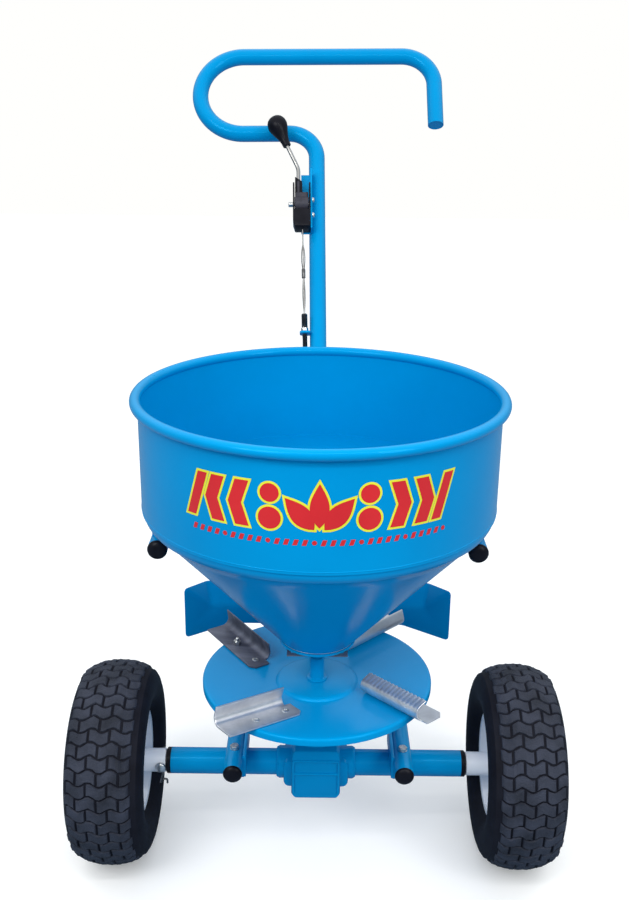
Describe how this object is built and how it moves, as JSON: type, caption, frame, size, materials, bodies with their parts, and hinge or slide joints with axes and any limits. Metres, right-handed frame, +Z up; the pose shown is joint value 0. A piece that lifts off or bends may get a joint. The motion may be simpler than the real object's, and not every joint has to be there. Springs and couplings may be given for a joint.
{
  "type": "fertilizer spreader",
  "caption": "Push-along broadcast spreader: round hopper on a tube frame over a bladed spinner disc geared to the axle, with pneumatic tyres, hooked handle and shutter lever.",
  "frame": {"origin": "centre of the footprint, on the ground", "axes": "+X to the machine's right as seen from the front, +Y to the rear where the user stands, +Z up"},
  "size_m": [0.7786, 0.9923, 1.2974],
  "materials": {
    "blue_paint": "glossy powder coat",
    "tyre_rubber": "moulded tyre rubber",
    "white_paint": "satin powder coat",
    "zinc": "bright zinc plate",
    "bright_steel": "turned steel",
    "galvanised": "galvanised sheet",
    "gear_steel": "oiled machined steel",
    "black_plastic": "moulded",
    "grey_plastic": "moulded",
    "cable_sheath": "extruded sheath",
    "foot_rubber": "moulded rubber"
  },
  "bodies": {
    "frame": {"axle_tube_left": "blue_paint", "axle_tube_right": "blue_paint", "axle_bush_left": "black_plastic", "axle_bush_right": "black_plastic", "gearbox_case": "blue_paint", "gearbox_cover": "blue_paint", "axle_bearing_left": "bright_steel", "axle_bearing_right": "bright_steel", "shaft_bush": "black_plastic", "hopper_shell": "blue_paint", "hopper_cone": "blue_paint", "outlet_plate": "blue_paint", "upright": "blue_paint", "foot": "foot_rubber", "rail_left": "blue_paint", "rail_right": "blue_paint", "axle_saddle_left": "blue_paint", "axle_saddle_right": "blue_paint", "clamp_bolt_front_left": "zinc", "clamp_bolt_front_right": "zinc", "clamp_bolt_rear_left": "zinc", "clamp_bolt_rear_right": "zinc", "hopper_arm_left": "blue_paint", "hopper_arm_right": "blue_paint", "rail_plug_left": "black_plastic", "rail_plug_right": "black_plastic", "arm_plug_left": "black_plastic", "arm_plug_right": "black_plastic", "shield": "blue_paint", "handle_tube": "blue_paint", "handle_bolt": "zinc", "lever_housing": "black_plastic", "lever_pin": "zinc", "cable_adjuster": "bright_steel", "control_cable": "cable_sheath", "cable_stop": "zinc"},
    "left_wheel": {"axle_shaft": "bright_steel", "rim_left": "white_paint", "tyre_left": "tyre_rubber", "drive_pin": "zinc", "pin_clip": "bright_steel", "crown_gear": "gear_steel", "axle_nut_left": "zinc", "axle_nut_right": "zinc"},
    "right_wheel": {"rim_right": "white_paint", "tyre_right": "tyre_rubber"},
    "disc": {"disc_shaft": "bright_steel", "disc_pinion": "gear_steel", "spinner_disc": "blue_paint", "vane_right_rear": "galvanised", "vane_left_rear": "galvanised", "vane_left_front": "galvanised", "vane_right_front": "galvanised", "disc_nut": "zinc", "agitator": "bright_steel"},
    "lever": {"lever_drum": "grey_plastic", "lever_rod": "bright_steel", "lever_knob": "black_plastic"},
    "wire": {"control_wire": "bright_steel"},
    "gate": {"shutter": "galvanised"}
  },
  "joints": [
    {"name": "axle_spin", "type": "hinge", "parent": "frame", "child": "left_wheel", "pos_m": [0, -0.21939, 0.165], "axis": [1, 0, 0], "continuous": true},
    {"name": "right_wheel_spin", "type": "hinge", "parent": "frame", "child": "right_wheel", "pos_m": [0, -0.21939, 0.165], "axis": [1, 0, 0], "continuous": true},
    {"name": "disc_spin", "type": "hinge", "parent": "frame", "child": "disc", "pos_m": [0, -0.21939, 0.165], "axis": [0, 0, 1], "continuous": true},
    {"name": "lever_turn", "type": "hinge", "parent": "frame", "child": "lever", "pos_m": [-0.03718, 0.27298, 1.01987], "axis": [0.9998, 0.0096, 0.0146], "range_deg": [0, 70]},
    {"name": "wire_pull", "type": "slide", "parent": "frame", "child": "wire", "axis": [-0.0332, 0.4651, 0.8846], "range_m": [0, 0.025]},
    {"name": "shutter_slide", "type": "slide", "parent": "frame", "child": "gate", "axis": [0, 1, 0], "range_m": [0, 0.025]}
  ],
  "couplings": [
    {"joint": "disc_spin", "follows": "axle_spin", "ratio": -4},
    {"joint": "wire_pull", "follows": "lever_turn", "m_per_rad": 0.020458},
    {"joint": "shutter_slide", "follows": "lever_turn", "m_per_rad": 0.020458}
  ]
}
